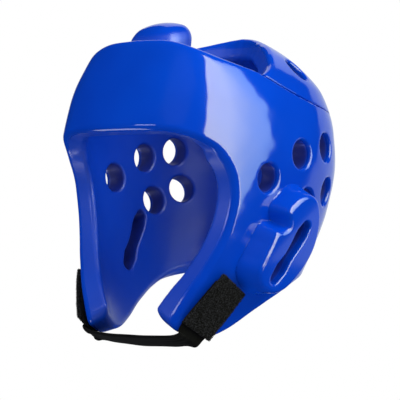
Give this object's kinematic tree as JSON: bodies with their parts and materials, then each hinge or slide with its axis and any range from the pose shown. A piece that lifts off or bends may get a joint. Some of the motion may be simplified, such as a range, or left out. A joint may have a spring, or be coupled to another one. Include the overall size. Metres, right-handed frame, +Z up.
{
  "type": "padded martial arts headgear",
  "caption": "Open-face foam headgear with a crown panel, ear guards, vent holes and a hook-and-loop chin strap.",
  "frame": {"origin": "middle of the head hollow at the height of the brow edge, where the wearer's head sits", "axes": "+Z up through the crown of a level head, the wearer looks along -Y, the wearer's left ear is on +X"},
  "size_m": [0.227, 0.2291, 0.2635],
  "materials": {
    "dipped_foam": "smooth high-gloss dipped vinyl skin over closed-cell foam",
    "strap_webbing": "black strap tape",
    "fastener_pile": "black fuzzy hook-and-loop pile"
  },
  "bodies": {
    "root": {"shell": "dipped_foam", "crown_panel": "dipped_foam", "crown_tongue": "dipped_foam", "ear_guard_left": "dipped_foam", "ear_guard_right": "dipped_foam", "chin_strap": "strap_webbing", "fastener_tab_left": "fastener_pile", "fastener_tab_right": "fastener_pile"}
  },
  "joints": []
}
